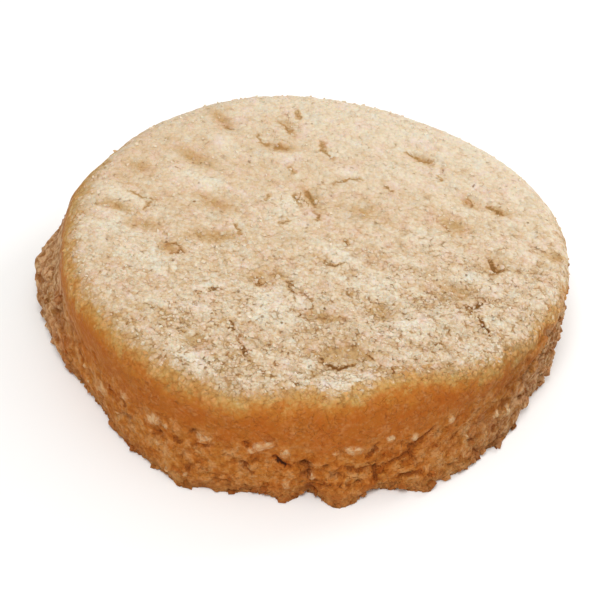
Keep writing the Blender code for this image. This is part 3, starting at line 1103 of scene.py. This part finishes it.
sugarGrains = {
    "seed": 21,
    "kind": "crystal",
    "shapes": 5,
    "count": 3400,
    "size": (0.20, 0.50),
    "thinning": 2.2,  # the higher, the fewer large grains
    "stand": (-0.42, -0.05),  # share of the size that a grain stands off the skin
    "stretch": (0.6, 1.25),
    "jitter": 0.16,
    "dull": ((0.0, (0.72, 0.63, 0.50)), (0.45, (0.66, 0.53, 0.38)), (0.9, (0.53, 0.37, 0.225))),
    "melted": ((0.0, (0.62, 0.38, 0.15)), (0.8, (0.44, 0.21, 0.055))),
    "shine": {
        "Roughness": 0.35,
        "Specular IOR Level": 0.15,
        "Subsurface Weight": 0.2,
        "Subsurface Scale": 0.3 * mm,
    },
}

looseCrumbs = {
    "seed": 22,
    "kind": "crumb",
    "shapes": 5,
    "count": 1600,
    "size": (0.3, 1.4),
    "thinning": 2.2,
    "stand": (-0.42, -0.05),
    "stretch": (0.6, 1.3),
    "jitter": 0.12,
}


def sugar():
    # dull sugar, amber where it melted into the crust
    material, tree, shader = newMaterial("sugar", sugarGrains["shine"])
    coords = addNode(tree, "ShaderNodeTexCoord").outputs["Object"]
    cloud = noiseField(tree, coords, 0.3, 2.0)
    # the crest mark also carries the painted paler back of the top
    tone = weigh(
        tree, 0.26, (attribute(tree, "lift"), 0.26), (cloud, 0.4),
        (attribute(tree, "toast"), 0.35), (attribute(tree, "crest"), -0.20),
    )
    dull = ramp(tree, tone, sugarGrains["dull"])
    meltedShare = mapRange(tree, attribute(tree, "bare"), -0.9, 0.4)
    melted = ramp(tree, tone, sugarGrains["melted"])
    tree.links.new(mixColour(tree, meltedShare, dull, melted), shader.inputs["Base Color"])
    bump = addNode(tree, "ShaderNodeBump", Strength=0.5, Distance=0.05 * mm)
    tree.links.new(cloud, bump.inputs["Height"])
    tree.links.new(bump.outputs["Normal"], shader.inputs["Normal"])
    return material


def sprinkle():
    # sugar on the frost, most of it in front, and crumbs on the crumbled wall and round the foot
    skin = skinOf(body.data)
    x, y, z = skin["middle"].T
    bare = skin["marks"]["bare"]
    edge = ease(0.9, 0.3, bare) * ease(-1.0, 0.0, bare)
    frosted = ease(0.3, -0.6, bare) * (0.10 + 0.40 * ease(4.0, -14.0, y))
    frosted += 0.7 * edge * ease(6.0, -8.0, y)
    scatterGrains("sugarGrains", skin, frosted, sugarGrains, sugar())
    foot = ease(1.4, 0.3, z) * ease(-0.2, 0.2, skin["normal"][:, 2] + 0.9)
    paleRight = 0.30 * skin["marks"]["pale"] * ease(-5.0, 10.0, x)
    crumbled = skin["marks"]["loose"] * (0.05 + paleRight) + 1.2 * foot
    scatterGrains("looseCrumbs", skin, crumbled * (z > 0.05), looseCrumbs, doughMaterial)


sprinkle()


# camera, floor and light
view = {
    "elevation": math.radians(41.4),
    "roll": math.radians(7.6),
    "distance": 270.0,
    "lens": 133.8,
    "lookAt": (0.0, 0.0, 6.0),
    "aside": (-1.063, -1.246),  # the camera's slide along its own right and up
}


def placeCamera():
    lift, roll = view["elevation"], view["roll"]
    back = Vector((0.0, -math.cos(lift), math.sin(lift)))
    levelRight = Vector((1.0, 0.0, 0.0))
    levelUp = back.cross(levelRight)
    right = levelRight * math.cos(roll) + levelUp * math.sin(roll)
    up = levelUp * math.cos(roll) - levelRight * math.sin(roll)
    slideRight, slideUp = view["aside"]
    place = Vector(view["lookAt"]) + back * view["distance"] + right * slideRight + up * slideUp
    camera = bpy.data.objects.new("camera", bpy.data.cameras.new("camera"))
    camera.data.lens = view["lens"]
    camera.data.sensor_width = 36.0
    camera.data.clip_start = 10.0 * mm
    camera.data.clip_end = 20.0
    turn = Matrix((right, up, back)).transposed().to_4x4()
    camera.matrix_world = Matrix.Translation(place * mm) @ turn
    bpy.context.scene.collection.objects.link(camera)
    bpy.context.scene.camera = camera


studio = {
    "floorColour": (0.93, 0.93, 0.92),
    "floorShade": 0.985,  # its darkest part against that colour
    "floorPatch": 60.0,
    "floorSize": 4.0,  # in metres
    "floorShine": {"Roughness": 0.9, "Specular IOR Level": 0.1},
    "skyColour": (1.0, 0.995, 0.985, 1.0),
    "skyStrength": 0.70,
    "lamps": (  # place in mm, size in mm, power in watts
        ((-40.0, -240.0, 400.0), 170.0, 1.08),
        ((190.0, 170.0, 160.0), 120.0, 0.30),
    ),
}


def makeFloor():
    shape = bmesh.new()
    bmesh.ops.create_grid(shape, x_segments=1, y_segments=1, size=studio["floorSize"])
    mesh = bpy.data.meshes.new("floor")
    shape.to_mesh(mesh)
    shape.free()
    material, tree, shader = newMaterial("paleFloor", studio["floorShine"])
    coords = addNode(tree, "ShaderNodeTexCoord").outputs["Object"]
    shade = noiseField(tree, coords, studio["floorPatch"], 2.0)
    low = tuple(studio["floorShade"] * c for c in studio["floorColour"])
    colour = ramp(tree, shade, ((0.0, low), (1.0, studio["floorColour"])))
    tree.links.new(colour, shader.inputs["Base Color"])
    mesh.materials.append(material)
    addObject("floor", mesh)


def makeLight():
    world = bpy.data.worlds.new("studio")
    world.use_nodes = True
    background = world.node_tree.nodes["Background"]
    background.inputs["Color"].default_value = studio["skyColour"]
    background.inputs["Strength"].default_value = studio["skyStrength"]
    bpy.context.scene.world = world
    for spot, size, power in studio["lamps"]:
        lamp = bpy.data.lights.new("softLamp", "AREA")
        lamp.shape = "DISK"
        lamp.size = size * mm
        lamp.energy = power
        holder = bpy.data.objects.new("softLamp", lamp)
        place = Vector(spot) * mm
        aim = place.to_track_quat("Z", "Y").to_matrix().to_4x4()
        holder.matrix_world = Matrix.Translation(place) @ aim
        bpy.context.scene.collection.objects.link(holder)
    bpy.context.scene.view_settings.view_transform = "Standard"


placeCamera()
makeFloor()
makeLight()
print("camera, floor and light done")
